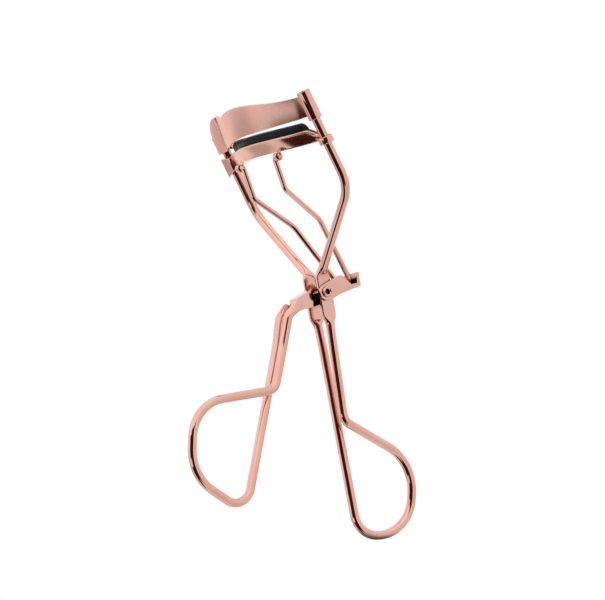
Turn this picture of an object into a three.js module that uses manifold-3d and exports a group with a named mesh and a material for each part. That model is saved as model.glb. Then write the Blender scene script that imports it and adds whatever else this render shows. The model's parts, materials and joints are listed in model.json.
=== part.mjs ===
// Eyelash curler: a bent wire frame with a fixed upper jaw, a lower jaw that slides on the frame's rails,
// and a wire lever that pushes the lower jaw up through a yoke. Millimetres, +Z up.
// X runs along the pivot. The handles hang down, and the jaws lean towards -Y. Until the last lines every
// position is measured from the pivot's centre; the model then stands on z = 0, centred in x and y.
import * as THREE from 'three';
import Module from 'manifold-3d';
import { mergeVertices } from 'three/addons/utils/BufferGeometryUtils.js';

const wasm = await Module();
wasm.setup();

const DEG = Math.PI / 180;

// Wire
const WIRE_R = 1.03;         // frame and lever wire, about 2 mm thick
const YOKE_R = 0.62;         // yoke wire
const SIDES = 12;            // sides of a wire's section
const BEND_STEP = 15 * DEG;  // one facet of a bend

// Rails: the two straight ends of the frame wire that carry the jaws
const RAIL_HALF = 20.45;
const RAIL_LEAN = 30 * DEG;
const RAIL_FOOT = { y: -4.1, z: 21.4 };
const RAIL_LENGTH = { near: 23.8, far: 20.0 };
const RAIL_BEND = 8.5;

// Pivot: both flanks of the frame wire are pressed flat and pierced here
const PLATE_X = 2.8;         // middle of a pressed plate
const PLATE_HALF_T = 0.5;
const PLATE_WIDEN = 1.7;     // width of a plate over the wire's thickness
const PLATE_TOP = 3.4;
const PLATE_BOTTOM = -4.6;
const PRESS_RUN = 2.6;       // length over which the wire goes from round to flat
const PIVOT_HOLE_R = 1.2;
const THROUGH = 6;           // past both sides of the pivot
const STRAND_X = 2.25;       // half the distance between a handle's two strands, which close up downwards
const STRAND_END_X = 1.5;
const STRAND_SLOPE = 0.208;  // how far a handle strand moves in y for each unit of height
const PLATE_Y = 0.3;

// Jaws: arcs along x that bulge forward (n) and are measured up the rails (s)
const JAW_HALF = 17.25;      // half the chord of the arc
const JAW_BULGE = 6.35;
const JAW_FOOT = 0.3;        // how far forward the arc's ends are
const JAW_ARCH = 0.21;       // rise of the arc for each unit that it bulges
const FAR_DROOP = 1.1;       // both jaws bend down a little at their far end
const JAW_STEPS = 24;
const UPPER_BOTTOM = 18.0;
const UPPER_TOP = 23.0;
const UPPER_DOME = 1.8;      // extra height in the middle
const DOME_SHAPE = 2.6;      // higher is narrower
const FAR_LIFT = 0.8;        // the far end of the upper edge stands higher than the near end
const UPPER_SETBACK = 0.35;  // keeps the upper edge over the pad
const SHEET = 0.7;
const LOWER_BOTTOM = 12.4;
const LOWER_FLOOR = 0.6;
const LOWER_RIM = 15.4;
const NEAR_TAPER = 1.7;
const LOWER_WALL = 0.5;
const CHANNEL_DEPTH = 3.5;   // lower jaw, front to back
const PAD_TOP = 17.2;
const PAD_HALF = 16.2;
const PAD_GAP = 0.2;
const PAD_SLOPE = { run: 1.6, drop: 1.0 };  // the pad's top slopes down at each end
const SLEEVE_R = 1.6;        // sheet curled round a rail
const SLEEVE_HOLE_R = 1.25;
const SLEEVE = { near: [17.1, 24.0], far: [18.0, 20.3] };
const EAR_R = 1.8;           // the lower jaw's short sleeves, which slide on the rails
const EAR = [10.8, 12.6];

// Yoke
const KNUCKLE = { n: 6.1, s: 12.4 };
const KNUCKLE_R = 1.15;
const KNUCKLE_HOLE_R = 0.8;
const KNUCKLE_X = [7.65, 9.2];
const YOKE_LEG_X = 7.0;
const BAR = { x: 2.7, y: 6.95, z: 3.6 };

// Lever
const SOCKET_HALF = 1.75;
const SOCKET_T = 0.65;
const BOSS_R = 2.0;
const CLIP_IN = 3.6;
const CLIP_T = 0.6;
const CLIP_EAR_R = 1.85;
const RIVET_R = 0.9;
const LEVER_STRAND_X = 1.5;

const v3 = (x, y, z) => new THREE.Vector3(x, y, z);

// ---- solids -------------------------------------------------------------------------------------

function solid(geometry) {
  const bare = geometry.clone();
  bare.deleteAttribute('normal');
  bare.deleteAttribute('uv');
  const welded = mergeVertices(bare, 1e-4);
  const corners = welded.index.array;
  const kept = [];
  for (let i = 0; i < corners.length; i += 3) {
    const [a, b, c] = corners.slice(i, i + 3);
    if (a !== b && b !== c && c !== a) kept.push(a, b, c);
  }
  return new wasm.Manifold(new wasm.Mesh({
    numProp: 3,
    vertProperties: new Float32Array(welded.attributes.position.array),
    triVerts: new Uint32Array(kept),
  }));
}

function geometryOf(manifold) {
  const mesh = manifold.getMesh();
  const geometry = new THREE.BufferGeometry();
  geometry.setAttribute('position', new THREE.BufferAttribute(mesh.vertProperties, 3));
  geometry.setIndex(new THREE.BufferAttribute(mesh.triVerts, 1));
  return geometry;
}

// A closed body through rings of points that all have the same count, with flat ends.
function loft(rings) {
  const count = rings[0].length;
  const points = rings.flat();
  const triangles = [];
  for (let r = 0; r < rings.length - 1; r++) {
    for (let i = 0; i < count; i++) {
      const a = r * count + i;
      const b = r * count + (i + 1) % count;
      triangles.push(a, b, a + count, b, b + count, a + count);
    }
  }
  const outline = (ring) => {
    const normal = v3(0, 0, 0);
    ring.forEach((p, i) => normal.add(p.clone().cross(ring[(i + 1) % count])));
    normal.normalize();
    const side = Math.abs(normal.x) < 0.9 ? v3(1, 0, 0) : v3(0, 1, 0);
    const u = side.sub(normal.clone().multiplyScalar(side.dot(normal))).normalize();
    const w = normal.clone().cross(u);
    return ring.map((p) => new THREE.Vector2(p.dot(u), p.dot(w)));
  };
  const last = (rings.length - 1) * count;
  for (const [a, b, c] of THREE.ShapeUtils.triangulateShape(outline(rings[0]), [])) {
    triangles.push(c, b, a);
  }
  for (const [a, b, c] of THREE.ShapeUtils.triangulateShape(outline(rings.at(-1)), [])) {
    triangles.push(last + a, last + b, last + c);
  }
  let volume = 0;
  for (let i = 0; i < triangles.length; i += 3) {
    const [a, b, c] = triangles.slice(i, i + 3).map((k) => points[k]);
    volume += a.dot(b.clone().cross(c));
  }
  const geometry = new THREE.BufferGeometry();
  const numbers = points.flatMap((p) => [p.x, p.y, p.z]);
  geometry.setAttribute('position', new THREE.Float32BufferAttribute(numbers, 3));
  geometry.setIndex(volume > 0 ? triangles : triangles.reverse());
  return geometry;
}

// The centre line of a bent wire: straight lengths between corners, each corner rounded to its radius.
function bentLine(corners) {
  const line = [corners[0].at];
  for (let i = 1; i < corners.length - 1; i++) {
    const { at, bend } = corners[i];
    const back = corners[i - 1].at.clone().sub(at).normalize();
    const ahead = corners[i + 1].at.clone().sub(at).normalize();
    const inside = back.angleTo(ahead);
    const turn = Math.PI - inside;
    const reach = bend * Math.tan(turn / 2);
    const centre = back.clone().add(ahead).normalize().multiplyScalar(bend / Math.sin(inside / 2)).add(at);
    const from = at.clone().addScaledVector(back, reach).sub(centre);
    const axis = ahead.clone().cross(back).normalize();
    const steps = Math.max(2, Math.ceil(turn / BEND_STEP));
    for (let k = 0; k <= steps; k++) {
      line.push(from.clone().applyAxisAngle(axis, turn * k / steps).add(centre));
    }
  }
  line.push(corners.at(-1).at);
  return line;
}

// Splits long straight steps between two heights, so that a pressed length has enough rings.
function divide(line, low, high, step) {
  const out = [line[0]];
  for (let i = 1; i < line.length; i++) {
    const [a, b] = [line[i - 1], line[i]];
    const inside = Math.min(a.z, b.z) < high && Math.max(a.z, b.z) > low;
    const parts = inside ? Math.max(1, Math.ceil(a.distanceTo(b) / step)) : 1;
    for (let k = 1; k <= parts; k++) out.push(a.clone().lerp(b, k / parts));
  }
  return out;
}

// A wire along a line. A pressed wire is flat in x: press.amount(point) runs from 0 (round) to 1 (flat),
// and a flat stretch is 2 * press.half thick and press.widen times as wide as the round wire.
function wire(line, radius, sides = SIDES, press = null) {
  const tangents = line.map((p, i) => {
    const before = line[Math.max(0, i - 1)];
    const after = line[Math.min(line.length - 1, i + 1)];
    const t = v3(0, 0, 0);
    if (i > 0) t.add(p.clone().sub(before).normalize());
    if (i < line.length - 1) t.add(after.clone().sub(p).normalize());
    return t.normalize();
  });
  let u = press ? v3(1, 0, 0) : v3(0, 1, 0);
  const rings = line.map((p, i) => {
    const t = tangents[i];
    const start = press ? v3(1, 0, 0) : u.clone();
    u = start.addScaledVector(t, -start.dot(t)).normalize();
    const w = t.clone().cross(u);
    const f = press ? press.amount(p) : 0;
    const half = THREE.MathUtils.lerp(radius, press ? press.half : radius, f);
    const widen = THREE.MathUtils.lerp(1, press ? press.widen : 1, f);
    const ring = [];
    for (let k = 0; k < sides; k++) {
      const angle = 2 * Math.PI * k / sides;
      const across = THREE.MathUtils.clamp(radius * Math.cos(angle), -half, half);
      ring.push(p.clone().addScaledVector(u, across).addScaledVector(w, radius * widen * Math.sin(angle)));
    }
    return ring;
  });
  return loft(rings);
}

// A cylinder along x between two x values.
function roundX(radius, from, to, y = 0, z = 0, sides = 24) {
  const geometry = new THREE.CylinderGeometry(radius, radius, to - from, sides);
  geometry.rotateZ(Math.PI / 2);
  geometry.translate((from + to) / 2, y, z);
  return solid(geometry);
}

// A sheet whose outline is given in (y, z), between two x values.
function sheetX(shape, from, to) {
  const options = { depth: to - from, bevelEnabled: false, curveSegments: 10 };
  const geometry = new THREE.ExtrudeGeometry(shape, options);
  geometry.applyMatrix4(new THREE.Matrix4().makeBasis(v3(0, 1, 0), v3(0, 0, 1), v3(1, 0, 0)));
  geometry.translate(from, 0, 0);
  return solid(geometry);
}

function outline(points) {
  return new THREE.Shape(points.map(([y, z]) => new THREE.Vector2(y, z)));
}

// ---- jaw space ----------------------------------------------------------------------------------

const UP_RAIL = v3(0, -Math.sin(RAIL_LEAN), Math.cos(RAIL_LEAN));
const FORWARD = v3(0, -Math.cos(RAIL_LEAN), -Math.sin(RAIL_LEAN));

// x across, n forward of the rails, s up the rails from the rails' foot.
function atJaw(x, n, s) {
  return v3(x, RAIL_FOOT.y, RAIL_FOOT.z).addScaledVector(FORWARD, n).addScaledVector(UP_RAIL, s);
}

function arcForward(x) {
  return JAW_FOOT + JAW_BULGE * (1 - (x / JAW_HALF) ** 2);
}

function arcRise(x) {
  const droop = FAR_DROOP * THREE.MathUtils.smoothstep(-x, 3, JAW_HALF + 3);
  return JAW_ARCH * (arcForward(x) - JAW_FOOT) - droop;
}

// A cylinder along the rail at x, between two heights on it.
function alongRail(radius, x, from, to, sides = 20) {
  const geometry = new THREE.CylinderGeometry(radius, radius, to - from, sides);
  geometry.translate(0, (from + to) / 2, 0);
  const basis = new THREE.Matrix4().makeBasis(v3(1, 0, 0), UP_RAIL, FORWARD);
  geometry.applyMatrix4(basis);
  geometry.translate(x, RAIL_FOOT.y, RAIL_FOOT.z);
  return solid(geometry);
}

// ---- frame wire ---------------------------------------------------------------------------------

const strandY = (z) => PLATE_Y - STRAND_SLOPE * z;

// One flank, from the rail's top down to the handle.
function frameFlank(side) {
  return [
    { at: atJaw(side * RAIL_HALF, 0, side > 0 ? RAIL_LENGTH.near : RAIL_LENGTH.far) },
    { at: v3(side * RAIL_HALF, RAIL_FOOT.y, RAIL_FOOT.z), bend: RAIL_BEND },
    { at: v3(side * PLATE_X, -0.6, 4.6), bend: 2.4 },
    { at: v3(side * PLATE_X, strandY(-5), -5), bend: 12 },
    { at: v3(side * STRAND_X, strandY(-12), -12), bend: 30 },
  ];
}

function frameWire() {
  const loop = [
    { at: v3(STRAND_END_X, 6.1, -28.9), bend: 3.5 },
    { at: v3(0.9, 24.9, -36.6), bend: 11 },
    { at: v3(-0.7, 24.8, -54.1), bend: 9.2 },
    { at: v3(-STRAND_END_X, strandY(-54.1), -54.1), bend: 5.4 },
  ];
  const corners = [...frameFlank(1), ...loop, ...frameFlank(-1).reverse()];
  const line = divide(bentLine(corners), PLATE_BOTTOM - PRESS_RUN, PLATE_TOP + PRESS_RUN, 1.3);
  const amount = (p) => {
    const above = (PLATE_TOP + PRESS_RUN - p.z) / PRESS_RUN;
    const below = (p.z - PLATE_BOTTOM + PRESS_RUN) / PRESS_RUN;
    return THREE.MathUtils.smoothstep(Math.min(above, below), 0, 1);
  };
  const body = solid(wire(line, WIRE_R, SIDES, { amount, half: PLATE_HALF_T, widen: PLATE_WIDEN }));
  return geometryOf(body.subtract(roundX(PIVOT_HOLE_R, -THROUGH, THROUGH)));
}

// ---- jaws ---------------------------------------------------------------------------------------

function upperTop(x) {
  const dome = UPPER_DOME * (1 - (x / JAW_HALF) ** 2) ** DOME_SHAPE;
  const lift = (FAR_LIFT + FAR_DROOP) * THREE.MathUtils.smoothstep(-x, JAW_HALF - 9, JAW_HALF);
  return UPPER_TOP + dome + lift;
}

// The upper band: an arc of sheet, turned back at each end and curled round the rail as a sleeve.
function upperJaw() {
  const rings = [];
  for (let k = 0; k <= JAW_STEPS; k++) {
    const x = JAW_HALF * (2 * k / JAW_STEPS - 1);
    const front = arcForward(x) - UPPER_SETBACK;
    const [low, high] = [UPPER_BOTTOM + arcRise(x), upperTop(x) + arcRise(x)];
    rings.push([
      atJaw(x, front - SHEET, low), atJaw(x, front, low),
      atJaw(x, front, high), atJaw(x, front - SHEET, high),
    ]);
  }
  let jaw = solid(loft(rings)).add(nearTurn()).add(farTurn());
  for (const side of [-1, 1]) {
    const [from, to] = side > 0 ? SLEEVE.near : SLEEVE.far;
    jaw = jaw.add(alongRail(SLEEVE_R, side * RAIL_HALF, from, to));
  }
  for (const side of [-1, 1]) {
    jaw = jaw.subtract(alongRail(SLEEVE_HOLE_R, side * RAIL_HALF, UPPER_BOTTOM - 2, UPPER_TOP + 3));
  }
  return geometryOf(jaw);
}

// A flat strip of sheet between two upright edges, each given as { x, n, low, high }.
function strip(start, end, thick) {
  const edge = ({ x, n, low, high }) => [
    atJaw(x, n - thick, low), atJaw(x, n, low), atJaw(x, n, high), atJaw(x, n - thick, high),
  ];
  return solid(loft([edge(start), edge(end)]));
}

// The near end of the upper band runs straight into its sleeve.
function nearTurn() {
  const [low, high] = [UPPER_BOTTOM - 0.5, UPPER_TOP + 0.6];
  return strip(
    { x: JAW_HALF - 0.5, n: JAW_FOOT, low, high },
    { x: RAIL_HALF - WIRE_R - 0.3, n: JAW_FOOT, low: SLEEVE.near[0], high: SLEEVE.near[1] },
    SHEET,
  );
}

// The far end is turned forward over the rail, and its upper corner is rounded off.
function farTurn() {
  const steps = 8;
  const reach = RAIL_HALF - 0.2 - JAW_HALF;
  const top = UPPER_TOP + FAR_LIFT;
  const rings = [];
  for (let k = 0; k <= steps; k++) {
    const f = Math.sin(Math.PI / 2 * k / steps);
    const x = -(JAW_HALF - 0.5) - (reach + 0.5) * f;
    const n = THREE.MathUtils.lerp(JAW_FOOT, SLEEVE_R - 0.1, THREE.MathUtils.smoothstep(f, 0, 1));
    const high = top - (top - SLEEVE.far[1]) * (1 - Math.sqrt(1 - f * f));
    const low = UPPER_BOTTOM - 0.3;
    rings.push([atJaw(x, n - 0.35, low), atJaw(x, n, low), atJaw(x, n, high), atJaw(x, n - 0.35, high)]);
  }
  return solid(loft(rings.reverse()));
}

// A bar of the lower jaw that follows the arc, between two depths behind its front and two heights.
function arcBar(half, back, front, lowAt, highAt, steps = JAW_STEPS) {
  const rings = [];
  for (let k = 0; k <= steps; k++) {
    const x = half * (2 * k / steps - 1);
    const n = arcForward(x);
    const rise = arcRise(x);
    rings.push([
      atJaw(x, n - back, lowAt(x) + rise), atJaw(x, n - front, lowAt(x) + rise),
      atJaw(x, n - front, highAt(x) + rise), atJaw(x, n - back, highAt(x) + rise),
    ]);
  }
  return solid(loft(rings));
}

// The lower jaw: a channel for the pad, whose floor and front wall run out to a short sleeve on each rail.
// The near end of the wall tapers to the sleeve, and the far end covers the rail.
function lowerJaw() {
  const bottom = () => LOWER_BOTTOM;
  const floorTop = () => LOWER_BOTTOM + LOWER_FLOOR;
  const rim = (x) => LOWER_RIM - NEAR_TAPER * THREE.MathUtils.smoothstep(x, JAW_HALF - 2.6, JAW_HALF);
  let jaw = arcBar(JAW_HALF, CHANNEL_DEPTH, 0, bottom, floorTop);
  jaw = jaw.add(arcBar(JAW_HALF, LOWER_WALL, 0, bottom, rim));
  jaw = jaw.add(arcBar(JAW_HALF, CHANNEL_DEPTH, CHANNEL_DEPTH - LOWER_WALL, bottom, rim));
  const near = { x: JAW_HALF - 0.3, n: JAW_FOOT, low: LOWER_BOTTOM, high: LOWER_RIM - NEAR_TAPER };
  jaw = jaw.add(strip(near, { x: RAIL_HALF, n: EAR_R, low: EAR[0] + 0.6, high: EAR[1] }, LOWER_WALL));
  const end = { x: 0.3 - JAW_HALF, n: JAW_FOOT, low: LOWER_BOTTOM, high: LOWER_RIM };
  const far = { x: 0.1 - RAIL_HALF, n: 1.6, low: EAR[0] - 0.3, high: LOWER_RIM - 0.5 };
  jaw = jaw.add(strip(far, end, LOWER_WALL));
  for (const side of [-1, 1]) {
    jaw = jaw.add(tongue(side)).add(alongRail(EAR_R, side * RAIL_HALF, ...EAR)).add(knuckle(side));
  }
  for (const side of [-1, 1]) {
    jaw = jaw.subtract(alongRail(SLEEVE_HOLE_R, side * RAIL_HALF, EAR[0] - 2, LOWER_RIM + 2));
  }
  return geometryOf(jaw);
}

// The end of the lower jaw's floor, from the arc to the sleeve on the rail.
function tongue(side) {
  const edge = (x, back, front, low) => [
    atJaw(x, back, low), atJaw(x, front, low),
    atJaw(x, front, low + LOWER_FLOOR), atJaw(x, back, low + LOWER_FLOOR),
  ];
  const ends = [
    edge(side * (JAW_HALF - 0.6), JAW_FOOT - CHANNEL_DEPTH, JAW_FOOT, LOWER_BOTTOM),
    edge(side * RAIL_HALF, -EAR_R, EAR_R * 0.8, EAR[1] - 1),
  ];
  if (side < 0) ends.reverse();
  return solid(loft(ends));
}

// A tab from the band's lower edge, curled forward into an eye for the yoke's hook.
function knuckle(side) {
  const [near, far] = KNUCKLE_X.map((x) => side * x).sort((a, b) => a - b);
  const eye = atJaw(0, KNUCKLE.n, KNUCKLE.s);
  const x = side * (KNUCKLE_X[0] + KNUCKLE_X[1]) / 2;
  const root = arcForward(x);
  const low = LOWER_BOTTOM + arcRise(x);
  const corners = [
    atJaw(0, root - 0.8, low + 0.3), atJaw(0, root, low + 0.3),
    atJaw(0, KNUCKLE.n + 0.6, KNUCKLE.s + 0.9), atJaw(0, KNUCKLE.n - 0.9, KNUCKLE.s + 0.5),
  ];
  const tab = sheetX(outline(corners.map((p) => [p.y, p.z])), near, far);
  return tab
    .add(roundX(KNUCKLE_R, near, far, eye.y, eye.z, 18))
    .subtract(roundX(KNUCKLE_HOLE_R, near - 1, far + 1, eye.y, eye.z, 14));
}

// The pad: a rubber strip that sits in the channel and stands above its rim.
function pad() {
  const low = () => LOWER_BOTTOM + LOWER_FLOOR + PAD_GAP;
  const slope = (x) => THREE.MathUtils.smoothstep(Math.abs(x), PAD_HALF - PAD_SLOPE.run, PAD_HALF);
  const high = (x) => PAD_TOP - PAD_SLOPE.drop * slope(x);
  const back = CHANNEL_DEPTH - LOWER_WALL - PAD_GAP;
  return geometryOf(arcBar(PAD_HALF, back, LOWER_WALL + PAD_GAP, low, high, 20));
}

// ---- yoke ---------------------------------------------------------------------------------------

// A thin wire: the bar in the lever's clip, two legs, and a hook at each end that sits in a knuckle.
function yokeWire() {
  const eye = atJaw(0, KNUCKLE.n, KNUCKLE.s);
  const leg = (side) => [
    { at: v3(side * (KNUCKLE_X[1] + 0.35), eye.y, eye.z) },
    { at: v3(side * YOKE_LEG_X, eye.y, eye.z), bend: 0.7 },
    { at: v3(side * 6.95, -12.7, 22.05), bend: 2.2 },
    { at: v3(side * 5.65, -2.9, 16.3), bend: 6 },
    { at: v3(side * BAR.x, BAR.y, BAR.z), bend: 0.9 },
  ];
  return wire(bentLine([...leg(1), ...leg(-1).reverse()]), YOKE_R, 10);
}

// ---- lever --------------------------------------------------------------------------------------

// The inner stamping: a box that holds the lever wire's ends, running back between the frame's plates.
// It is open at the top and rear, and its near side is cut away between the box and the pivot.
function leverSocket() {
  const side = outline([
    [-6.4, -4.7], [-2.0, -3.3], [1.5, -1.9], [5.2, 0.5], [5.2, 1.9], [1.0, 2.0], [-2.4, 0.9], [-6.4, -1.7],
  ]);
  const hollow = outline([
    [-5.8, -4.0], [-2.0, -2.7], [1.5, -1.3], [9, 3.6], [9, 6], [-2.4, 5], [-2.4, 0.3], [-5.8, -1.9],
  ]);
  const cutAway = outline([[-2.2, -5], [-0.2, -5], [0.1, 3], [-2.2, 3]]);
  const boss = new THREE.Shape().absarc(0, 0, BOSS_R, 0, 2 * Math.PI);
  return geometryOf(sheetX(side, -SOCKET_HALF, SOCKET_HALF)
    .subtract(sheetX(hollow, SOCKET_T - SOCKET_HALF, SOCKET_HALF - SOCKET_T))
    .subtract(sheetX(cutAway, SOCKET_HALF - SOCKET_T - 0.01, SOCKET_HALF + 1))
    .add(sheetX(boss, -SOCKET_HALF, SOCKET_T - SOCKET_HALF))
    .subtract(roundX(PIVOT_HOLE_R, -THROUGH, THROUGH)));
}

// The outer stamping: two cheeks outside the frame's plates, joined by a wall behind the yoke's bar.
function leverClip() {
  const cheek = outline([
    [-0.6, -1.75], [0.9, -1.62], [2.2, -0.8], [8.75, 2.2], [8.75, 3.0],
    [6.5, 2.35], [3.9, 4.2], [2.9, 4.0], [-1.1, 1.48],
  ]);
  const ear = new THREE.Shape().absarc(0, 0, CLIP_EAR_R, 0, 2 * Math.PI);
  const wall = outline([[8.15, 1.92], [8.95, 2.3], [8.35, 5.4], [7.75, 5.25]]);
  const lip = outline([[5.8, 0.93], [8.75, 2.25], [8.45, 2.85], [5.55, 1.55]]);
  const out = CLIP_IN + CLIP_T;
  let clip = sheetX(wall, -out, out).add(sheetX(lip, -out, out));
  for (const from of [-out, CLIP_IN]) {
    clip = clip.add(sheetX(cheek, from, from + CLIP_T)).add(sheetX(ear, from, from + CLIP_T));
  }
  return geometryOf(clip.subtract(roundX(PIVOT_HOLE_R, -THROUGH, THROUGH)));
}

// The lever's handle: both ends pressed flat against the socket, then two strands down to the loop.
function leverHandle() {
  const strand = (z) => -7.38 + 0.205 * z;
  const flank = (side) => [
    { at: v3(side * 2.6, -6.1, -2.9) },
    { at: v3(side * 1.95, -8.9, -5.9), bend: 3 },
    { at: v3(side * LEVER_STRAND_X, strand(-13), -13), bend: 20 },
  ];
  const loop = [
    { at: v3(LEVER_STRAND_X, -12.2, -23.3), bend: 2.8 },
    { at: v3(0.9, -33.1, -28.3), bend: 9.5 },
    { at: v3(-0.3, -33.1, -44.6), bend: 10 },
    { at: v3(-LEVER_STRAND_X, strand(-51.8), -51.8), bend: 4.6 },
  ];
  const line = divide(bentLine([...flank(1), ...loop, ...flank(-1).reverse()]), -6, 0, 1.3);
  const amount = (p) => THREE.MathUtils.smoothstep(p.z, -5.6, -3.2);
  return wire(line, WIRE_R, SIDES, { amount, half: 0.62, widen: 1.2 });
}

// A tubular rivet through both stampings and both plates, with a hollow at each end.
function pivotRivet() {
  const end = 4.8;
  const under = CLIP_IN + CLIP_T + 0.15;
  const half = [
    [RIVET_R, under], [1.2, under], [1.25, end - 0.3], [1.15, end - 0.1], [0.75, end], [0.55, end - 0.1],
    [0.5, end - 1.1], [0, end - 1.3],
  ];
  const profile = [...half.map(([r, x]) => [r, -x]).reverse(), ...half];
  const geometry = new THREE.LatheGeometry(profile.map(([r, x]) => new THREE.Vector2(r, x)), 20);
  geometry.rotateZ(-Math.PI / 2);
  return geometryOf(solid(geometry));
}

// ---- assembly -----------------------------------------------------------------------------------

function roseGold(color, roughness) {
  return new THREE.MeshStandardMaterial({ color, roughness, metalness: 1 });
}

const polished = roseGold(0xe3a089, 0.12);
const satin = roseGold(0xd99883, 0.34);
const rubber = new THREE.MeshStandardMaterial({ color: 0x15191a, roughness: 0.6, metalness: 0 });

const group = new THREE.Group();

function piece(name, geometry, material) {
  const mesh = new THREE.Mesh(geometry, material);
  mesh.name = name;
  group.add(mesh);
}

piece('frame_wire', frameWire(), polished);
piece('upper_jaw', upperJaw(), satin);
piece('lower_jaw', lowerJaw(), satin);
piece('pad', pad(), rubber);
piece('yoke_wire', yokeWire(), polished);
piece('lever_socket', leverSocket(), satin);
piece('lever_clip', leverClip(), satin);
piece('lever_handle', leverHandle(), polished);
piece('pivot_rivet', pivotRivet(), polished);

const box = new THREE.Box3().setFromObject(group, true);
const middle = box.getCenter(v3(0, 0, 0));
group.position.set(-middle.x, -middle.y, -box.min.z);
group.updateMatrixWorld(true);

export default group;
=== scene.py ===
"""Eyelash curler: polished wires, satin sheet jaws and a silicone pad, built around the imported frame.

Metres, Z up. X runs along the pivot. Shapes are given in millimetres and turned into metres by MM.
"""

import json
import math

import bmesh
import bpy
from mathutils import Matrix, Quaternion, Vector


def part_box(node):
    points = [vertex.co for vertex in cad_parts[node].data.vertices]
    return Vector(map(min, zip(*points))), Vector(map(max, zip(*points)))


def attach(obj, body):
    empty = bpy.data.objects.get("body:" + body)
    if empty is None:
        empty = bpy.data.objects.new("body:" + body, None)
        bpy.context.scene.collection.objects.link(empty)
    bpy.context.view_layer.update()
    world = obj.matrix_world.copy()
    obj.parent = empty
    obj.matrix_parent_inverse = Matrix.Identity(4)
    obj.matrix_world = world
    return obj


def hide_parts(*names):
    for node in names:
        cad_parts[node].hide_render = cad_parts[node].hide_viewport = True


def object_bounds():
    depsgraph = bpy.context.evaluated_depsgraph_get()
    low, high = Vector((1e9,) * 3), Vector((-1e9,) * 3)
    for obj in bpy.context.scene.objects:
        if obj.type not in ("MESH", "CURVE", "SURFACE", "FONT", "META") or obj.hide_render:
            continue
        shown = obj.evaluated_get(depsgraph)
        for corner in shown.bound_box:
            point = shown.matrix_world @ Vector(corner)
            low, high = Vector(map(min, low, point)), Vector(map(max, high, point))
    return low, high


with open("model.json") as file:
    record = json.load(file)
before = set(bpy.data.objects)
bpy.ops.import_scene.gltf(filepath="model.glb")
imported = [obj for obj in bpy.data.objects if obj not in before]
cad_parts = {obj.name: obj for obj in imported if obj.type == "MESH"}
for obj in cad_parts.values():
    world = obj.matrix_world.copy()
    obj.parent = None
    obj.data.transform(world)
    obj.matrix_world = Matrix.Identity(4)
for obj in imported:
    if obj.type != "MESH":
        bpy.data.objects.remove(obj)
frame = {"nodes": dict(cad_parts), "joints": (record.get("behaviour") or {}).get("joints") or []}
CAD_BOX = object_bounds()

MM = 0.001
JOINTS = {joint["name"]: joint for joint in frame["joints"]}
PIVOT = Vector(JOINTS["lever_pivot"]["pos_m"])
YOKE_EYE = Vector(JOINTS["yoke_hinge"]["pos_m"])

# Jaw space: x across, n forward of the rails, s up the rails from their foot.
ACROSS = Vector((1, 0, 0))
UP_RAIL = Vector(JOINTS["jaw_slide"]["axis"]).normalized()
FORWARD = ACROSS.cross(UP_RAIL)
RAIL_FOOT = Vector((0, -4.1, 21.4))    # from the pivot, in mm
RAIL_HALF = 20.45
RAIL_TOP_NEAR, RAIL_TOP_FAR = 23.8, 20.0
RAIL_BEND = 8.5              # bend radius where a rail meets its flank

# Wires, in mm
WIRE_R = 1.03
YOKE_R = 0.62
PLATE_TOP, PLATE_BOTTOM = 3.4, -4.6    # the flat stretch at the pivot
PRESS_RUN = 2.6              # length over which the wire goes from round to flat
PRESS_STEP = 0.5
PLATE_X = 2.8
PLATE_HALF_T = 0.5
PLATE_WIDEN = 1.7            # width of the flat stretch over the wire's thickness
PIVOT_HOLE_R = 1.2
FRAME_STRAND = (0.3, -0.208)           # y of the straight strands at the pivot's height, and its slope with z
LEVER_STRAND = (-7.38, 0.205)
STRAND_X = 1.5
LEVER_HALF_T = 0.62
LEVER_WIDEN = 1.2

# The arc that both jaws follow, in mm
JAW_HALF = 17.25
JAW_BULGE = 6.35
JAW_FOOT = 0.3
JAW_ARCH = 0.21
FAR_DROOP = 1.1

# Upper jaw, in mm
UPPER_LOW = 18.0
UPPER_HIGH = 23.0
UPPER_DOME = 1.8
DOME_SHAPE = 2.6
FAR_LIFT = 0.8
UPPER_SETBACK = 0.35
SETBACK_EASE = 0.3           # how much of the setback is lost towards the far end
UPPER_CREASE = 16.3          # where the far end turns forward
UPPER_SWELL = 0.3            # how much fuller than the arc it is there
CORNER_LIFT = 1.0
FAR_LOW = 0.7                # the lower edge hangs down towards the far end
UPPER_HALF_T = 0.3
UPPER_LEAN = -0.12
NEAR_SLEEVE = (17.1, 24.0)   # lower and upper edge of the sheet round each rail
FAR_SLEEVE = (16.1, 20.3)
POLISHED_BEYOND = 18.7       # the near sleeve has the wires' polish from this x on
CURL_R = 1.42                # middle of the sheet curled round a rail
FAR_CURL_R = 1.65
CURL_HALF_T = 0.17

# Lower jaw and pad, in mm
LOWER_LOW = 12.4
LOWER_RIM = 15.4
NEAR_TAPER = 1.5
NEAR_DROOP = 0.5
LOWER_CREASE = 17.4
LOWER_SWELL = 1.5
PAD_SWELL = 0.35
CHANNEL_DEPTH = 3.5
WALL_HALF_T = 0.24
WALL_EDGE = 0.22
LOWER_LEAN = 0.08
LOWER_FAR_LIFT = 0.4
BACK_TAPER = 1.8             # the back wall's drop at its near end
NEAR_EAR = (10.9, 12.6)
FAR_EAR = (10.8, 12.6)
EAR_CURL_R = 1.52
BEAD_R = 0.32
KNUCKLE_X = 8.42
KNUCKLE_R = 0.86             # middle of the curled tab
KNUCKLE_HALF_T, KNUCKLE_HALF_W = 0.13, 0.66
KNUCKLE_SWEEP = math.radians(305)
PAD_LOW = 13.2
PAD_TOP = 17.2
PAD_FAR, PAD_NEAR = -16.9, 15.2
PAD_ROUND = 1.2
PAD_FAR_LIFT = 0.5
PAD_MARGIN = 0.7             # what the pad leaves of the channel's depth on each side
PAD_CROWN = 0.8
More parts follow.
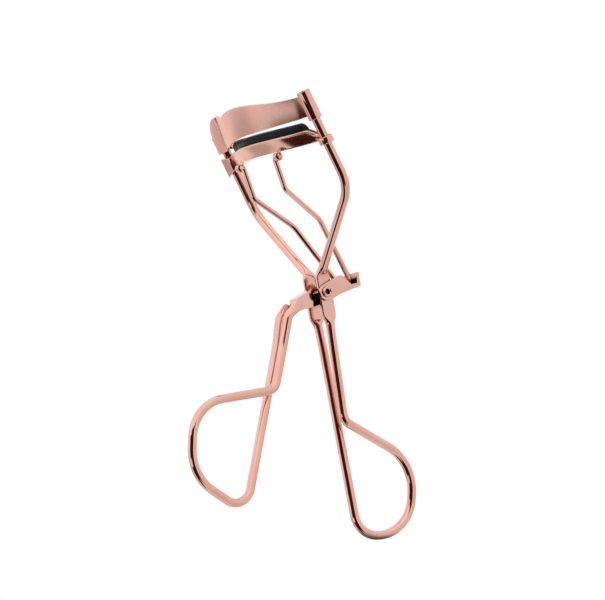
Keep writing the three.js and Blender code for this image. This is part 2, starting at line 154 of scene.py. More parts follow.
PAD_FOOT = 0.94              # width of the pad's foot over its full width

# Rivet, in mm
SHANK_R = 0.9
RIM_R = 1.25
RIM_ROUND = 0.3

# Camera: the direction it looks from, and the pivot's place in the picture as metres from its middle
CAMERA_AZIMUTH = math.radians(59.3)
CAMERA_ELEVATION = math.radians(-10.2)
CAMERA_DISTANCE = 2.917
CAMERA_LENS = 761.6
PIVOT_RIGHT = 3.45 * MM
PIVOT_ABOVE = 1.24 * MM


def lerp(a, b, f):
    return a + (b - a) * f


def smooth(x, low, high):
    f = min(max((x - low) / (high - low), 0.0), 1.0)
    return f * f * (3 - 2 * f)


def jaw_place(x, n, s):
    """A point of jaw space, in mm from the pivot."""
    return RAIL_FOOT + ACROSS * x + FORWARD * n + UP_RAIL * s


def at_jaw(x, n, s):
    return PIVOT + jaw_place(x, n, s) * MM


def arc_forward(x):
    return JAW_FOOT + JAW_BULGE * (1 - (x / JAW_HALF) ** 2)


def arc_rise(x):
    return JAW_ARCH * (arc_forward(x) - JAW_FOOT) - FAR_DROOP * smooth(-x, 3, JAW_HALF + 3)


# ---- materials ----------------------------------------------------------------------------------


class Nodes:
    """A short way to add and join shader nodes."""

    def __init__(self, tree):
        self.tree = tree
        tree.nodes.clear()

    def add(self, kind, inputs=None, **settings):
        node = self.tree.nodes.new(kind)
        for key, value in settings.items():
            setattr(node, key, value)
        for key, value in (inputs or {}).items():
            if isinstance(value, bpy.types.NodeSocket):
                self.tree.links.new(value, node.inputs[key])
            else:
                node.inputs[key].default_value = value
        return node

    def maths(self, operation, *values):
        return self.add("ShaderNodeMath", dict(enumerate(values)), operation=operation).outputs[0]

    def remap(self, value, from_low, from_high, to_low, to_high):
        inputs = {0: value, 1: from_low, 2: from_high, 3: to_low, 4: to_high}
        return self.add("ShaderNodeMapRange", inputs, interpolation_type="SMOOTHSTEP").outputs[0]

    def blend(self, share, first, second):
        return self.add("ShaderNodeMix", {0: share, 6: first, 7: second}, data_type="RGBA").outputs[2]

    def bump(self, height, strength, distance):
        inputs = {"Height": height, "Strength": strength, "Distance": distance}
        return self.add("ShaderNodeBump", inputs).outputs[0]


def new_material(name):
    material = bpy.data.materials.new(name)
    material.use_nodes = True
    return material, Nodes(material.node_tree)


def stretched_noise(nodes, scale, detail=3.0):
    """Noise in object space. scale is in cells for each metre along x, y and z."""
    place = nodes.add("ShaderNodeTexCoord").outputs["Object"]
    mapped = nodes.add("ShaderNodeMapping", {"Vector": place, "Scale": scale}).outputs[0]
    return nodes.add("ShaderNodeTexNoise", {"Vector": mapped, "Scale": 1.0, "Detail": detail}).outputs[0]


# Painted shade: an ambient occlusion mask, reaching this far, darkens the metal's colour towards this
# near-black in narrow gaps.
PAINTED_SHADE_REACH = 3.5 * MM
PAINTED_GAP_SHADE = (0.015, 0.005, 0.004, 1)


def rose_gold(name, colour, roughness, grain, grain_depth, painted_shade_keep):
    """Copper-pink plated metal. The plating's tone drifts a little, and narrow gaps are darkened with painted
    shade.

    The last argument is the share of the metal's colour that is kept in the narrowest gaps under the painted
    shade.
    """
    material, nodes = new_material(name)
    drift = stretched_noise(nodes, (140, 140, 140), 2.0)
    deeper = (colour[0] * 0.96, colour[1] * 0.9, colour[2] * 0.86, 1)
    warm = nodes.blend(nodes.remap(drift, 0.35, 0.65, 0.0, 1.0), (*colour, 1), deeper)
    # Painted shade: where the occlusion mask finds a narrow gap, the metal's colour is mixed towards the dark
    # gap colour.
    occlusion = nodes.add("ShaderNodeAmbientOcclusion", {"Distance": PAINTED_SHADE_REACH}, samples=16, only_local=False)
    unshaded_share = nodes.remap(occlusion.outputs["AO"], 0.1, 0.75, painted_shade_keep, 1.0)
    base = nodes.blend(unshaded_share, PAINTED_GAP_SHADE, warm)
    smudge = stretched_noise(nodes, (420, 420, 420), 4.0)
    rough = nodes.remap(smudge, 0.3, 0.75, roughness * 0.93, roughness * 1.1)
    lines = stretched_noise(nodes, grain, 2.0)
    bump = nodes.bump(lines, grain_depth, 0.01 * MM)
    surface = nodes.add("ShaderNodeBsdfPrincipled", {
        "Base Color": base, "Metallic": 1.0, "Roughness": rough, "Normal": bump,
        "Specular Tint": (1.0, 0.86, 0.8, 1),
    }).outputs[0]
    nodes.add("ShaderNodeOutputMaterial", {"Surface": surface})
    return material


def silicone():
    """Black silicone: a fine moulded grain and a soft sheen."""
    material, nodes = new_material("silicone_rubber")
    grain = stretched_noise(nodes, (5200, 5200, 5200), 3.0)
    wear = stretched_noise(nodes, (600, 600, 600), 3.0)
    base = nodes.blend(wear, (0.003, 0.005, 0.005, 1), (0.006, 0.01, 0.01, 1))
    rough = nodes.remap(wear, 0.3, 0.7, 0.42, 0.6)
    bump = nodes.bump(grain, 0.25, 0.02 * MM)
    surface = nodes.add("ShaderNodeBsdfPrincipled", {
        "Base Color": base, "Roughness": rough, "Normal": bump, "Specular IOR Level": 0.22,
    }).outputs[0]
    nodes.add("ShaderNodeOutputMaterial", {"Surface": surface})
    return material


PINK = (0.8, 0.49, 0.42)
# The last number of each finish is how much of its colour the painted gap shade keeps.
POLISHED = rose_gold("polished_rose_gold", PINK, 0.05, (2500, 2500, 2500), 0.1, 0.1)
SATIN = rose_gold("satin_rose_gold", PINK, 0.27, (300, 7000, 7000), 0.35, 0.1)
BRIGHT = rose_gold("bright_rose_gold", PINK, 0.12, (300, 7000, 7000), 0.15, 0.0)
RUBBER = silicone()


# ---- meshes -------------------------------------------------------------------------------------


def piece(name, points, faces, material, sharp=40):
    mesh = bpy.data.meshes.new(name)
    mesh.from_pydata(points, [], faces)
    shape = bmesh.new()
    shape.from_mesh(mesh)
    bmesh.ops.remove_doubles(shape, verts=shape.verts, dist=1e-7)
    bmesh.ops.recalc_face_normals(shape, faces=shape.faces)
    shape.to_mesh(mesh)
    shape.free()
    mesh.shade_smooth()
    mesh.set_sharp_from_angle(angle=math.radians(sharp))
    mesh.materials.append(material)
    made = bpy.data.objects.new(name, mesh)
    bpy.context.scene.collection.objects.link(made)
    return made


def skin(rings, first=0):
    """Faces of a closed body through rings of equal count. first is the number of the first corner."""
    count = len(rings[0])
    faces = []
    for r in range(len(rings) - 1):
        for i in range(count):
            a, b = first + r * count + i, first + r * count + (i + 1) % count
            faces.append((a, b, b + count, a + count))
    last = first + (len(rings) - 1) * count
    faces.append(tuple(range(first, first + count))[::-1])
    faces.append(tuple(range(last, last + count)))
    return faces


def merged(name, bodies, material, sharp=40):
    """One piece from several lists of rings."""
    points, faces = [], []
    for rings in bodies:
        faces += skin(rings, len(points))
        points += [p for ring in rings for p in ring]
    return piece(name, points, faces, material, sharp)


def rounded_box(low_a, high_a, low_b, high_b, radius, steps=4):
    """Corners of a rectangle with rounded corners, as (a, b) pairs."""
    radius = min(radius, (high_a - low_a) / 2.01, (high_b - low_b) / 2.01)
    corners = [(high_a, high_b, 0), (low_a, high_b, 1), (low_a, low_b, 2), (high_a, low_b, 3)]
    out = []
    for a, b, quarter in corners:
        centre_a = a - radius if a == high_a else a + radius
        centre_b = b - radius if b == high_b else b + radius
        for k in range(steps + 1):
            angle = math.pi / 2 * (quarter + k / steps)
            out.append((centre_a + radius * math.cos(angle), centre_b + radius * math.sin(angle)))
    return out


# ---- wires --------------------------------------------------------------------------------------


def bent_line(corners, step=4.0):
    """The centre line of a bent wire, in mm from the pivot. Each corner is (point, bend radius)."""
    line = [corners[0][0]]
    for (before, _), (at, bend), (after, _) in zip(corners, corners[1:], corners[2:]):
        back, ahead = (before - at).normalized(), (after - at).normalized()
        inside = back.angle(ahead)
        turn = math.pi - inside
        centre = at + (back + ahead).normalized() * (bend / math.sin(inside / 2))
        start = at + back * (bend * math.tan(turn / 2)) - centre
        axis = ahead.cross(back).normalized()
        steps = max(4, math.ceil(math.degrees(turn) / step))
        line += [centre + Quaternion(axis, turn * k / steps) @ start for k in range(steps + 1)]
    line.append(corners[-1][0])
    return line


def unpressed(point):
    return 0.0


def wire_stations(corners, radius, flat=unpressed, half=0.0, widen=1.0):
    """Centre, half thickness and half width along a wire.

    flat(point) is 0 where the wire is round and 1 where it is pressed flat.
    """
    line = bent_line(corners)
    stations = []
    for a, b in zip(line, line[1:]):
        pressed = max(flat(a), flat(b), flat((a + b) / 2)) > 0
        parts = max(1, math.ceil((b - a).length / PRESS_STEP)) if pressed else 1
        for k in range(parts):
            p = a.lerp(b, k / parts)
            f = flat(p)
            stations.append((p, lerp(radius, half, f), radius * lerp(1.0, widen, f)))
    stations.append((line[-1], stations[-1][1], stations[-1][2]))
    return stations


def cut_end(depth, amount):
    """A sawn end with a small chamfer, as (distance from the end, scale of thickness, scale of width)."""
    return [(0.0, 1 - amount, 1 - amount), (depth, 1.0, 1.0)]


def round_end(depth, flat):
    """An end that is rounded off over a depth. flat is the share of the thickness kept at the tip."""
    steps = 8
    out = []
    for k in range(steps + 1):
        angle = math.pi / 2 * k / steps
        rise = math.sin(angle)
        out.append((depth * (1 - math.cos(angle)), lerp(flat, 1, rise), max(0.05, rise)))
    return out


def shape_ends(stations, profile):
    """Replaces the first and last stations by the stations of an end's profile."""
    for _ in range(2):
        first, thick, wide = stations[0]
        inward = (stations[1][0] - first).normalized()
        rest = [s for s in stations if (s[0] - first).length > profile[-1][0] * 1.05]
        stations = ([(first + inward * d, thick * ft, wide * fw) for d, ft, fw in profile] + rest)[::-1]
    return stations


def section(centre, thick, wide, along, across, sides):
    """One ring: round where thick and wide are alike, and a soft-cornered flat where the wire is pressed."""
    power = 2 / lerp(2.0, 4.5, smooth(wide / thick, 1.05, 2.2))
    ring = []
    for k in range(sides):
        angle = 2 * math.pi * k / sides
        c, s = math.cos(angle), math.sin(angle)
        a = math.copysign(abs(c) ** power, c) * thick
        b = math.copysign(abs(s) ** power, s) * wide
        ring.append(PIVOT + (centre + along * a + across * b) * MM)
    return ring


def wire_body(stations, start, sides=36):
    """Rings along a wire. Where start is the x axis the thickness stays along it."""
    along = start
    rings = []
    for i, (centre, thick, wide) in enumerate(stations):
        before, after = stations[max(0, i - 1)][0], stations[min(len(stations) - 1, i + 1)][0]
        tangent = (after - before).normalized()
        along = ACROSS if start is ACROSS else along
        along = (along - tangent * along.dot(tangent)).normalized()
        rings.append(section(centre, thick, wide, along, tangent.cross(along), sides))
    return rings


def cut_hole(made, radius, reach):
    """Cuts a round hole along x through the pivot."""
    bpy.ops.mesh.primitive_cylinder_add(
        vertices=64, radius=radius, depth=2 * reach, location=PIVOT, rotation=(0, math.pi / 2, 0)
    )
    drill = bpy.context.object
    cut = made.modifiers.new("hole", "BOOLEAN")
    cut.object = drill
    cut.solver = "EXACT"
    bpy.context.view_layer.update()
    ready = made.evaluated_get(bpy.context.evaluated_depsgraph_get())
    mesh = bpy.data.meshes.new_from_object(ready)
    made.modifiers.clear()
    made.data = mesh
    mesh.shade_smooth()
    mesh.set_sharp_from_angle(angle=math.radians(40))
    bpy.data.objects.remove(drill)


def finish_piece(made, body, slot, *nodes):
    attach(made, body)
    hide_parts(*nodes)


def both_flanks(flank, loop):
    """Corners down one side of a wire, round its loop and up the other side."""
    return flank(1) + loop + flank(-1)[::-1]


def frame_flat(point):
    """How far the frame wire is pressed flat at a point."""
    above = (PLATE_TOP + PRESS_RUN - point.z) / PRESS_RUN
    below = (point.z - PLATE_BOTTOM + PRESS_RUN) / PRESS_RUN
    return smooth(min(above, below), 0, 1)


def strand(line, x, z):
    """A point on the straight strands of the frame or the lever."""
    at_pivot, slope = line
    return Vector((x, at_pivot + slope * z, z))


def build_frame_wire():
    def flank(side):
        return [
            (jaw_place(side * RAIL_HALF, 0, RAIL_TOP_NEAR if side > 0 else RAIL_TOP_FAR), 0),
            (jaw_place(side * RAIL_HALF, 0, 0), RAIL_BEND),
            (Vector((side * PLATE_X, -0.6, 4.6)), 2.4),
            (strand(FRAME_STRAND, side * PLATE_X, -5), 12),
            (strand(FRAME_STRAND, side * 2.25, -12), 30),
        ]

    loop = [
        (Vector((STRAND_X, 6.1, -28.9)), 3.5), (Vector((0.9, 24.9, -36.6)), 11),
        (Vector((-0.7, 24.8, -54.1)), 9.2), (strand(FRAME_STRAND, -STRAND_X, -54.1), 5.4),
    ]
    stations = wire_stations(both_flanks(flank, loop), WIRE_R, frame_flat, PLATE_HALF_T, PLATE_WIDEN)
    stations = shape_ends(stations, cut_end(0.15, 0.14))
    made = merged("frame_wire_smooth", [wire_body(stations, ACROSS)], POLISHED)
    cut_hole(made, PIVOT_HOLE_R * MM, 7 * MM)
    finish_piece(made, "frame", "polished_metal", "frame_wire")


def lever_flat(point):
    """How far the lever wire is pressed flat, near its ends."""
    return smooth(point.z, -5.6, -3.2)


def build_lever_handle():
    def flank(side):
        return [
            (Vector((side * 2.6, -6.1, -2.9)), 0), (Vector((side * 1.95, -8.9, -5.9)), 3),
            (strand(LEVER_STRAND, side * STRAND_X, -13), 20),
        ]

    loop = [
        (Vector((STRAND_X, -12.2, -23.3)), 2.8), (Vector((0.9, -33.1, -28.3)), 9.5),
        (Vector((-0.3, -33.1, -44.6)), 10), (strand(LEVER_STRAND, -STRAND_X, -51.8), 4.6),
    ]
    stations = wire_stations(both_flanks(flank, loop), WIRE_R, lever_flat, LEVER_HALF_T, LEVER_WIDEN)
    stations = shape_ends(stations, round_end(0.9, 0.55))
    made = merged("lever_handle_smooth", [wire_body(stations, ACROSS)], POLISHED)
    finish_piece(made, "lever", "polished_metal", "lever_handle")


def build_yoke_wire():
    eye = (YOKE_EYE - PIVOT) / MM

    def flank(side):
        return [
            (Vector((side * 9.55, eye.y, eye.z)), 0), (Vector((side * 7.0, eye.y, eye.z)), 0.7),
            (Vector((side * 6.95, -12.7, 22.05)), 2.2), (Vector((side * 5.65, -2.9, 16.3)), 6),
            (Vector((side * 2.7, 6.95, 3.6)), 0.9),
        ]

    stations = shape_ends(wire_stations(both_flanks(flank, []), YOKE_R), cut_end(0.1, 0.2))
    made = merged("yoke_wire_smooth", [wire_body(stations, Vector((0, 1, 0)), 28)], POLISHED)
    finish_piece(made, "yoke", "polished_metal", "yoke_wire")


# ---- jaws ---------------------------------------------------------------------------------------


def sheet_rings(path, edge=0.12, lean=0.0):
    """A bent sheet. Each step of the path is (x, n, low, high, half thickness), in mm, at the sheet's middle.

    lean tips the sheet forward for each mm below its upper edge, except at the ends.
    """
    rings = []
    for i, (x, n, low, high, half) in enumerate(path):
        before, after = path[max(0, i - 1)], path[min(len(path) - 1, i + 1)]
        dx, dn = after[0] - before[0], after[1] - before[1]
        length = math.hypot(dx, dn)
        side_x, side_n = -dn / length, dx / length
        ring = []
        for t, s in rounded_box(-half, half, low, high, edge):
            tip = lean * (s - high) * smooth(JAW_HALF - abs(x), 0, 1.5)
            ring.append(at_jaw(x + side_x * t, n + side_n * t + tip, s))
        rings.append(ring)
    return rings


def curl(centre_x, radius, start, sweep, low, high, half, steps=36):
    """Part of a sheet's path round a rail. Angles are in degrees from +x towards n, and sweep is signed."""
    out = []
    for k in range(steps + 1):
        angle = math.radians(start + sweep * k / steps)
        out.append((centre_x + radius * math.cos(angle), radius * math.sin(angle), low, high, half))
    return out


def bend_to(first, second, steps=8):
    """Eased steps between two stages of a path, without the ends."""
    out = []
    for k in range(1, steps):
        f = k / steps
        eased = smooth(f, 0, 1)
        shares = (f, f, eased, eased, eased)
        out.append(tuple(lerp(a, b, share) for a, b, share in zip(first, second, shares)))
    return out


def turned_end(crease, lip, rounded, steps=20):
    """The far end of a jaw: a tight crease, then a nearly flat turn forward over the rail to the lip."""
    out = []
    for k in range(1, steps + 1):
        f = math.sin(math.pi / 2 * k / steps)
        forward = 0.95 * smooth(f, 0, 0.13) + 0.05 * f
        fall = 1 - math.sqrt(max(0.0, 1 - f * f)) if rounded else f
        shares = (f, forward, f, fall, f)
        out.append(tuple(lerp(a, b, share) for a, b, share in zip(crease, lip, shares)))
    return out


def swollen(x, crease, amount):
    """n of a jaw's front, which fills out from the arc towards the crease at its far end."""
    return arc_forward(x) + amount * max(0.0, (-x - 8) / (crease - 8)) ** 2


def lower_front(x):
    return swollen(x, LOWER_CREASE, LOWER_SWELL)


def spaced(start, end, steps=96):
    """Evenly spaced values from start to end."""
    return [lerp(start, end, k / steps) for k in range(steps + 1)]


def upper_high(x):
    dome = UPPER_DOME * max(0.0, 1 - (x / JAW_HALF) ** 2) ** DOME_SHAPE
    lift = (FAR_LIFT + FAR_DROOP) * smooth(-x, JAW_HALF - 9, JAW_HALF)
    lift += CORNER_LIFT * (smooth(-x, 8, 13) - 0.35 * smooth(-x, 13, UPPER_CREASE))
    return UPPER_HIGH + dome + lift + arc_rise(x)


def upper_path():
    """The upper band, from its far curl, over the arc, to its near sleeve."""
    arc = []
    for x in spaced(-UPPER_CREASE, JAW_HALF):
        front = swollen(x, UPPER_CREASE, UPPER_SWELL)
        setback = UPPER_SETBACK - SETBACK_EASE * smooth(-x, -2, 8)
        low = UPPER_LOW + arc_rise(x) - FAR_LOW * smooth(-x, -2, 10)
        arc.append((x, front - setback - UPPER_HALF_T, low, upper_high(x), UPPER_HALF_T))
    near = curl(RAIL_HALF, CURL_R, 250, 330, *NEAR_SLEEVE, CURL_HALF_T, 48)
    far = curl(-RAIL_HALF, FAR_CURL_R, 330, -235, *FAR_SLEEVE, CURL_HALF_T)[:-1]
    turn = turned_end(arc[0], (-RAIL_HALF, FAR_CURL_R, *FAR_SLEEVE, CURL_HALF_T), rounded=True)
    return far + turn[::-1] + arc + bend_to(arc[-1], near[0]) + near


def polish_near_end(made, beyond):
    """Gives the sleeve at a jaw's near end the wires' polish."""
    made.data.materials.append(POLISHED)
    for face in made.data.polygons:
        if face.center.x - PIVOT.x > beyond * MM:
            face.material_index = 1


def build_upper_jaw():
    made = merged("upper_jaw_band", [sheet_rings(upper_path(), lean=UPPER_LEAN)], SATIN)
    polish_near_end(made, POLISHED_BEYOND)
    finish_piece(made, "frame", "satin_metal", "upper_jaw")


def lower_rise(x):
    """The lower jaw also bends down a little at its near end, and less than the upper one at its far end."""
    return arc_rise(x) - NEAR_DROOP * smooth(x, 0, JAW_HALF) + LOWER_FAR_LIFT * smooth(-x, 8, JAW_HALF)


def front_rim(x):
    """Height of the front wall's rim, which drops at its near end."""
    return LOWER_RIM - NEAR_TAPER * smooth(x, JAW_HALF - 1.4, JAW_HALF + 0.6) + lower_rise(x)


def front_wall_path():
    """The curl round the far rail, and the front wall with the curl round the near rail, as two paths."""
    arc = []
    for x in spaced(-LOWER_CREASE, JAW_HALF):
        arc.append((x, lower_front(x) - WALL_HALF_T, LOWER_LOW + lower_rise(x), front_rim(x), WALL_HALF_T))
    near = curl(RAIL_HALF, EAR_CURL_R, 234, 290, *NEAR_EAR, WALL_HALF_T)
    far = curl(-RAIL_HALF, EAR_CURL_R, 80, 250, *FAR_EAR, WALL_HALF_T)
    cover = turned_end(arc[0], (-RAIL_HALF - 0.15, 2.0, 10.5, LOWER_RIM - 0.3, WALL_HALF_T), rounded=False)
    return far[::-1], cover[::-1] + arc + bend_to(arc[-1], near[0]) + near


def rim_bead():
    """The front wall's rim, rolled to a thin round bead."""
    rings = []
    sides = 16
    for x in spaced(-LOWER_CREASE + 0.1, JAW_HALF):
        rim = front_rim(x) - 0.1
        middle = lower_front(x) - WALL_HALF_T
        ring = []
        for i in range(sides):
            angle = 2 * math.pi * i / sides
            ring.append(at_jaw(x, middle + BEAD_R * math.cos(angle), rim + BEAD_R * math.sin(angle)))
        rings.append(ring)
    return rings


def channel_rings():
    """The lower jaw's floor and back wall, as one bent sheet, with rounded bends."""
    rings = []
    steps = 96
    for k in range(steps + 1):
        x = (JAW_HALF - 0.15) * (2 * k / steps - 1)
        rise = lower_rise(x)
        front = lower_front(x) - 0.2
        back = arc_forward(x) - CHANNEL_DEPTH
        rim = LOWER_RIM - 0.2 - BACK_TAPER * smooth(x, JAW_HALF - 3, JAW_HALF - 0.5)
        inside, low = 0.5, LOWER_LOW
        profile = [(front, low), (front, low + inside)]
        profile += [(back + inside + 0.25, low + inside), (back + inside, low + inside + 0.25)]
        profile += [(back + inside, rim - 0.15), (back + inside - 0.15, rim)]
        profile += [(back + 0.15, rim), (back, rim - 0.15)]
        profile += [(back, low + 0.6), (back + 0.12, low + 0.25), (back + 0.4, low + 0.04), (back + 0.7, low)]
        rings.append([at_jaw(x, n, s + rise) for n, s in profile])
    return rings


def tongue_rings(side):
    """The floor's end, from the arc to the curl on a rail."""
    rings = []
    steps = 10
    for k in range(steps + 1):
        f = k / steps
        x = side * lerp(JAW_HALF - 0.6, RAIL_HALF - 1.35, f)
        low = lerp(LOWER_LOW, 11.7, smooth(f, 0, 1))
        back = lerp(JAW_FOOT - CHANNEL_DEPTH, -0.9, math.sqrt(f))
        front = lerp(JAW_FOOT, 0.9, f)
        rings.append([at_jaw(x, n, s) for n, s in rounded_box(back, front, low, low + 0.5, 0.12)])
    return rings


def knuckle_rings(side):
    """A tab from the band's lower edge that curls forward into the eye of the yoke's hook."""
    eye = (YOKE_EYE - PIVOT) / MM - RAIL_FOOT
    eye_n, eye_s = eye.dot(FORWARD), eye.dot(UP_RAIL)
    middle = KNUCKLE_X * side
    root_n = arc_forward(middle) - 0.35
    root_s = LOWER_LOW + arc_rise(middle) + 0.6
    path = [(root_n, root_s), (root_n + 0.02, root_s - 0.35)]
    start = math.atan2(root_s - 0.35 - eye_s, root_n - eye_n)
    steps = 32
    for k in range(steps + 1):
        angle = start + KNUCKLE_SWEEP * k / steps
        path.append((eye_n + KNUCKLE_R * math.cos(angle), eye_s + KNUCKLE_R * math.sin(angle)))
    rings = []
    section_box = (-KNUCKLE_HALF_T, KNUCKLE_HALF_T, -KNUCKLE_HALF_W, KNUCKLE_HALF_W)
    for i, (n, s) in enumerate(path):
        before, after = path[max(0, i - 1)], path[min(len(path) - 1, i + 1)]
        dn, ds = after[0] - before[0], after[1] - before[1]
        length = math.hypot(dn, ds)
        ring = []
        for t, x in rounded_box(*section_box, 0.08, 3):
            ring.append(at_jaw(middle + x, n - ds / length * t, s + dn / length * t))
        rings.append(ring)
    return rings


def build_lower_jaw():
    far, front = front_wall_path()
    bodies = [sheet_rings(front, WALL_EDGE, LOWER_LEAN), sheet_rings(far, WALL_EDGE)]
    bodies += [channel_rings(), rim_bead()]
    bodies += [tongue_rings(-1), tongue_rings(1), knuckle_rings(-1), knuckle_rings(1)]
    made = merged("lower_jaw_channel", bodies, BRIGHT)
    finish_piece(made, "lower_jaw", "satin_metal", "lower_jaw")


def build_pad():
    """A strip of silicone with a crowned top and rounded ends, on the channel's floor."""
    steps = 128
    width = CHANNEL_DEPTH - 2 * PAD_MARGIN
    rings = []
    for k in range(steps + 1):
        x = lerp(PAD_FAR, PAD_NEAR, 0.5 + 0.5 * math.sin(math.pi * (k / steps - 0.5)))
        to_end = min(x - PAD_FAR, PAD_NEAR - x)
        into_end = max(0.0, 1 - to_end / PAD_ROUND)
        share = math.sqrt(max(0.0, 1 - into_end**2))
        rise = lower_rise(x)
        high = lerp(LOWER_RIM - 0.6, PAD_TOP + PAD_FAR_LIFT * smooth(-x, 2, 11), share)
        half = width / 2 * lerp(0.35, 1.0, share)
        middle = swollen(x, LOWER_CREASE, PAD_SWELL) - CHANNEL_DEPTH / 2
        ring = []
        for n, s in rounded_box(-half, half, PAD_LOW, high, PAD_CROWN, 8):
            narrowing = PAD_FOOT if s < PAD_LOW + PAD_CROWN else 1.0
            ring.append(at_jaw(x, middle + n * narrowing, s + rise))
        rings.append(ring)
    made = merged("silicone_pad", [rings], RUBBER, 50)
    finish_piece(made, "lower_jaw", "pad_rubber", "pad")


# ---- pivot --------------------------------------------------------------------------------------


def build_rivet():
    """A tubular rivet: a shank along x, and at each end a rolled rim around a hollow."""
    low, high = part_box("pivot_rivet")
    end = (high.x - low.x) / 2 / MM
    under = end - 0.55
    outer = [(SHANK_R, 0.0), (SHANK_R, under), (1.15, under)]
    steps = 10
    for k in range(steps + 1):
        angle = math.pi * k / steps - math.pi / 3
        out_by, along_by = RIM_ROUND * math.cos(angle), RIM_ROUND * math.sin(angle)
        outer.append((RIM_R - RIM_ROUND + out_by, end - RIM_ROUND + along_by))
    outer += [(0.58, end - 0.25), (0.5, end - 0.6), (0.48, end - 1.3), (0.0, end - 1.4)]
    profile = [(r, -x) for r, x in reversed(outer[1:])] + outer[1:]
    turns = 64
    points, faces = [], []
    for r, x in profile:
        for k in range(turns):
            angle = 2 * math.pi * k / turns
            points.append(PIVOT + Vector((x, r * math.cos(angle), r * math.sin(angle))) * MM)
    for i in range(len(profile) - 1):
        for k in range(turns):
            a, b = i * turns + k, i * turns + (k + 1) % turns
            faces.append((a, b, b + turns, a + turns))
    made = piece("pivot_rivet_turned", points, faces, POLISHED, 50)
    finish_piece(made, "lever", "polished_metal", "pivot_rivet")


def dress_stamping(node, material):
    """Softens a CAD stamping's edges and gives it a finish."""
    made = frame["nodes"][node]
    made.data.materials.clear()
    made.data.materials.append(material)
    weld = made.modifiers.new("weld", "WELD")
    weld.merge_threshold = 1e-6
    flats = made.modifiers.new("flats", "DECIMATE")
    flats.decimate_type = "DISSOLVE"
    flats.angle_limit = math.radians(1.5)
    edges = made.modifiers.new("edges", "BEVEL")
    edges.width = 0.14 * MM
    edges.segments = 3
    edges.limit_method = "ANGLE"
    edges.angle_limit = math.radians(35)
    edges.use_clamp_overlap = True
    made.modifiers.new("even_shading", "WEIGHTED_NORMAL").keep_sharp = True
    made.data.shade_smooth()


# ---- studio -------------------------------------------------------------------------------------


def away_from(azimuth, elevation):
    """A unit vector out from the object. Angles are in radians; azimuth 0 is towards -Y."""
    level = math.cos(elevation)
    return Vector((math.sin(azimuth) * level, -math.cos(azimuth) * level, math.sin(elevation)))


def card(nodes, direction, azimuth, half_width, soft, low, high, soft_up):
    """Share of the sky covered by an upright dark card. Angles are in degrees; azimuth 0 is towards -Y."""
    away = math.radians(azimuth)
    x, y, z = direction
    x_squared, y_squared = nodes.maths("MULTIPLY", x, x), nodes.maths("MULTIPLY", y, y)
    flat = nodes.maths("SQRT", nodes.maths("ADD", x_squared, y_squared))
    x_share = nodes.maths("MULTIPLY", x, math.sin(away))
    y_share = nodes.maths("MULTIPLY", y, -math.cos(away))
    dot = nodes.maths("ADD", x_share, y_share)
    facing = nodes.maths("DIVIDE", dot, nodes.maths("MAXIMUM", flat, 0.001))
    outer, inner = math.cos(math.radians(half_width + soft)), math.cos(math.radians(half_width))
    across = nodes.remap(facing, outer, inner, 0.0, 1.0)
    edges = [math.sin(math.radians(a)) for a in (low - soft_up, low, high, high + soft_up)]
    above = nodes.remap(z, edges[0], edges[1], 0.0, 1.0)
    below = nodes.remap(z, edges[2], edges[3], 1.0, 0.0)
    return nodes.maths("MULTIPLY", across, nodes.maths("MULTIPLY", above, below))


def build_world():
    """A white room for the camera, and a bright room with a few dark cards for the metal to reflect."""
    world = bpy.data.worlds.new("studio")
    world.use_nodes = True
    bpy.context.scene.world = world
    nodes = Nodes(world.node_tree)
    generated = nodes.add("ShaderNodeTexCoord").outputs["Generated"]
    split = nodes.add("ShaderNodeSeparateXYZ", {0: generated})
    direction = [split.outputs[i] for i in range(3)]
    level = nodes.remap(direction[2], -0.9, 0.7, 0.9, 1.15)
    # azimuth, half width, soft edge, low, high, soft edge up and down, darkness
    cards = [
        (56, 24, 10, -45, 13, 7, 1.0),      # beside the camera: the dark line down the frame's wires
        (20, 14, 8, -14, 6, 4, 1.0),        # a smaller one in front, at the object's height
        (18, 30, 6, -75, -32, 4, 1.0),      # low and in front: the lower jaw's dark end
        (-52, 10, 14, -36, -14, 10, 0.4),   # a soft shade across the jaws' middle
        (140, 30, 30, -60, 50, 20, 0.18),   # the far side of the room is dimmer
    ]
    bare = 1.0
    for *place, darkness in cards:
        covered = card(nodes, direction, *place)
        darkened = nodes.maths("MULTIPLY", covered, darkness)
        bare = nodes.maths("MULTIPLY", bare, nodes.maths("SUBTRACT", 1.0, darkened))
    tone = nodes.blend(bare, (0.05, 0.014, 0.008, 1), (1.0, 0.985, 0.975, 1))
    room = nodes.add("ShaderNodeBackground", {"Color": tone, "Strength": level}).outputs[0]
    white = nodes.add("ShaderNodeBackground", {"Color": (1, 1, 1, 1), "Strength": 1.0}).outputs[0]
    seen = nodes.add("ShaderNodeLightPath").outputs["Is Camera Ray"]
    mixed = nodes.add("ShaderNodeMixShader", {0: seen, 1: room, 2: white}).outputs[0]
    nodes.add("ShaderNodeOutputWorld", {"Surface": mixed})


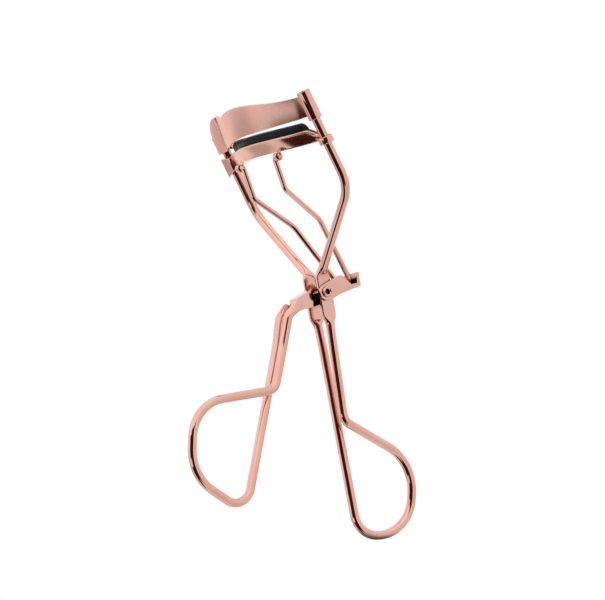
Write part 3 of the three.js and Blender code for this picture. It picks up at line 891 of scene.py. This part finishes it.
def build_floor():
    """A pale floor, seen only from above, that fades into the white room."""
    half = 1.2
    mesh = bpy.data.meshes.new("floor")
    corners = [(-half, -half, 0), (half, -half, 0), (half, half, 0), (-half, half, 0)]
    mesh.from_pydata(corners, [], [(0, 1, 2, 3)])
    floor = bpy.data.objects.new("floor", mesh)
    bpy.context.scene.collection.objects.link(floor)
    floor.visible_glossy = False
    floor.location.z = CAD_BOX[0].z - 0.2 * MM
    material, nodes = new_material("studio_floor")
    place = nodes.add("ShaderNodeTexCoord").outputs["Object"]
    distance = nodes.add("ShaderNodeVectorMath", {0: place}, operation="LENGTH").outputs["Value"]
    far = nodes.remap(distance, 0.09, 0.5, 0.0, 1.0)
    back = nodes.add("ShaderNodeNewGeometry").outputs["Backfacing"]
    hidden = nodes.maths("MAXIMUM", far, back)
    grain = stretched_noise(nodes, (900, 900, 900), 2.0)
    tone = nodes.blend(grain, (0.9, 0.89, 0.88, 1), (0.94, 0.93, 0.92, 1))
    matt = nodes.add("ShaderNodeBsdfPrincipled", {"Base Color": tone, "Roughness": 0.8}).outputs[0]
    clear = nodes.add("ShaderNodeBsdfTransparent").outputs[0]
    mixed = nodes.add("ShaderNodeMixShader", {0: hidden, 1: matt, 2: clear}).outputs[0]
    nodes.add("ShaderNodeOutputMaterial", {"Surface": mixed})
    mesh.materials.append(material)


def build_light(name, azimuth, elevation, size, energy):
    """A square soft light that points at the middle of the object."""
    lamp = bpy.data.lights.new(name, "AREA")
    lamp.size = size
    lamp.energy = energy
    light = bpy.data.objects.new(name, lamp)
    bpy.context.scene.collection.objects.link(light)
    back = away_from(math.radians(azimuth), math.radians(elevation))
    middle = (CAD_BOX[0] + CAD_BOX[1]) / 2
    light.location = middle + back * 0.6
    light.visible_glossy = False
    light.rotation_mode = "QUATERNION"
    light.rotation_quaternion = (-back).to_track_quat("-Z", "Y")


def build_camera():
    right = Vector((math.cos(CAMERA_AZIMUTH), math.sin(CAMERA_AZIMUTH), 0))
    back = away_from(CAMERA_AZIMUTH, CAMERA_ELEVATION)
    up = back.cross(right)
    lens = bpy.data.cameras.new("camera")
    lens.lens = CAMERA_LENS
    lens.sensor_width = 36
    lens.clip_start, lens.clip_end = 0.05, 20
    camera = bpy.data.objects.new("camera", lens)
    bpy.context.scene.collection.objects.link(camera)
    camera.location = PIVOT - right * PIVOT_RIGHT - up * PIVOT_ABOVE + back * CAMERA_DISTANCE
    camera.rotation_mode = "QUATERNION"
    camera.rotation_quaternion = (-back).to_track_quat("-Z", "Y")
    bpy.context.scene.camera = camera


build_frame_wire()
build_yoke_wire()
build_lever_handle()
build_upper_jaw()
build_lower_jaw()
build_pad()
build_rivet()
dress_stamping("lever_socket", BRIGHT)
dress_stamping("lever_clip", BRIGHT)
build_world()
build_floor()
build_light("key", 10, 50, 0.5, 2.0)
build_light("fill", 130, 25, 0.5, 1.0)
build_camera()
bpy.context.scene.view_settings.view_transform = "Standard"
